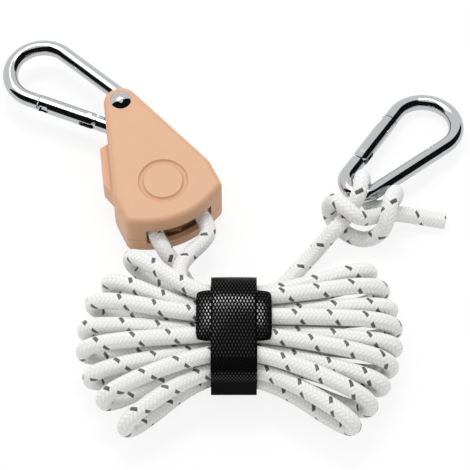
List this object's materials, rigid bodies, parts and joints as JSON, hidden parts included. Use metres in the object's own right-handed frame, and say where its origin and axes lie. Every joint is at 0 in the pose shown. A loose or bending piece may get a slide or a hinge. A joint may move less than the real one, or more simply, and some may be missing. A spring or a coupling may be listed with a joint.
{
  "type": "rope ratchet hanger",
  "caption": "Adjustable rope hanger: moulded teardrop ratchet pulley, spring snap hooks, knotted braided rope and a hank tied with a hook-and-loop strap.",
  "frame": {"origin": "on the flat rear face of the housing, under the wheel's axis", "axes": "+Y from the wheel's axis to the hanger rivet, +Z out of the front face, +X to the right seen from the front"},
  "size_m": [0.1793, 0.2051, 0.029],
  "materials": {
    "housing_plastic": "fine moulded satin",
    "wheel_plastic": "moulded satin",
    "rivet_steel": "polished",
    "hook_chrome": "bright nickel plate",
    "pin_steel": "zinc plate",
    "spring_steel": "drawn wire",
    "rope_braid": "braided polyester with dark flecks",
    "strap_webbing": "woven",
    "strap_mesh": "hook-and-loop pile"
  },
  "bodies": {
    "housing": {"housing_front": "housing_plastic", "housing_rear": "housing_plastic", "housing_screws": "pin_steel", "hanger_rivet": "rivet_steel", "rivet_sleeve": "pin_steel", "sheave_axle": "pin_steel", "pawl_pin": "pin_steel", "pawl_spring": "spring_steel", "rope_in_housing": "rope_braid", "rope_tail_lead": "rope_braid", "rope_hank": "rope_braid", "rope_hook_line": "rope_braid", "rope_knot": "rope_braid", "strap_band": "strap_webbing", "strap_head": "strap_mesh"},
    "sheave": {"rope_sheave": "wheel_plastic"},
    "lever": {"release_lever": "housing_plastic"},
    "top_hook": {"top_hook_body": "hook_chrome"},
    "top_gate": {"top_hook_gate": "hook_chrome", "top_hook_gate_pin": "pin_steel", "top_hook_spring": "spring_steel"},
    "top_plunger": {"top_hook_plunger": "pin_steel"},
    "rope_hook": {"rope_hook_body": "hook_chrome"},
    "rope_gate": {"rope_hook_gate": "hook_chrome", "rope_hook_gate_pin": "pin_steel", "rope_hook_spring": "spring_steel"},
    "rope_plunger": {"rope_hook_plunger": "pin_steel"}
  },
  "joints": [
    {"name": "sheave_spin", "type": "hinge", "parent": "housing", "child": "sheave", "pos_m": [0, 0, 0.011], "axis": [0, 0, 1], "continuous": true},
    {"name": "lever_press", "type": "hinge", "parent": "housing", "child": "lever", "pos_m": [-0.006, 0.0192, 0.011], "axis": [0, 0, -1], "range_deg": [0, 7], "stiffness_Nm_per_rad": 0.06, "springref_deg": -17.19, "deforming": ["pawl_spring"]},
    {"name": "top_hook_swing", "type": "hinge", "parent": "housing", "child": "top_hook", "pos_m": [0, 0.04, 0.011], "axis": [0, 0, 1], "range_deg": [-95, 28]},
    {"name": "top_gate_swing", "type": "hinge", "parent": "top_hook", "child": "top_gate", "pos_m": [-0.01223, 0.04368, 0.011], "axis": [0, 0, -1], "range_deg": [0, 28], "stiffness_Nm_per_rad": 0.03, "springref_deg": -28.65},
    {"name": "top_plunger_slide", "type": "slide", "parent": "top_gate", "child": "top_plunger", "axis": [-0.6777, 0.7354, 0], "range_m": [0, 0.0008], "deforming": ["top_hook_spring"]},
    {"name": "rope_hook_swing", "type": "hinge", "parent": "housing", "child": "rope_hook", "pos_m": [0.0689, -0.03075, 0.0095], "axis": [0.9063, -0.4226, 0], "range_deg": [0, 45]},
    {"name": "rope_gate_swing", "type": "hinge", "parent": "rope_hook", "child": "rope_gate", "pos_m": [0.07738, -0.01364, 0.00692], "axis": [-0.0566, -0.1214, -0.991], "range_deg": [0, 28], "stiffness_Nm_per_rad": 0.03, "springref_deg": -28.65},
    {"name": "rope_plunger_slide", "type": "slide", "parent": "rope_gate", "child": "rope_plunger", "axis": [0.8415, 0.5284, -0.1128], "range_m": [0, 0.0008], "deforming": ["rope_hook_spring"]}
  ],
  "couplings": [
    {"joint": "top_plunger_slide", "follows": "top_gate_swing", "m_per_rad": 0.0014324},
    {"joint": "rope_plunger_slide", "follows": "rope_gate_swing", "m_per_rad": 0.0014324}
  ]
}
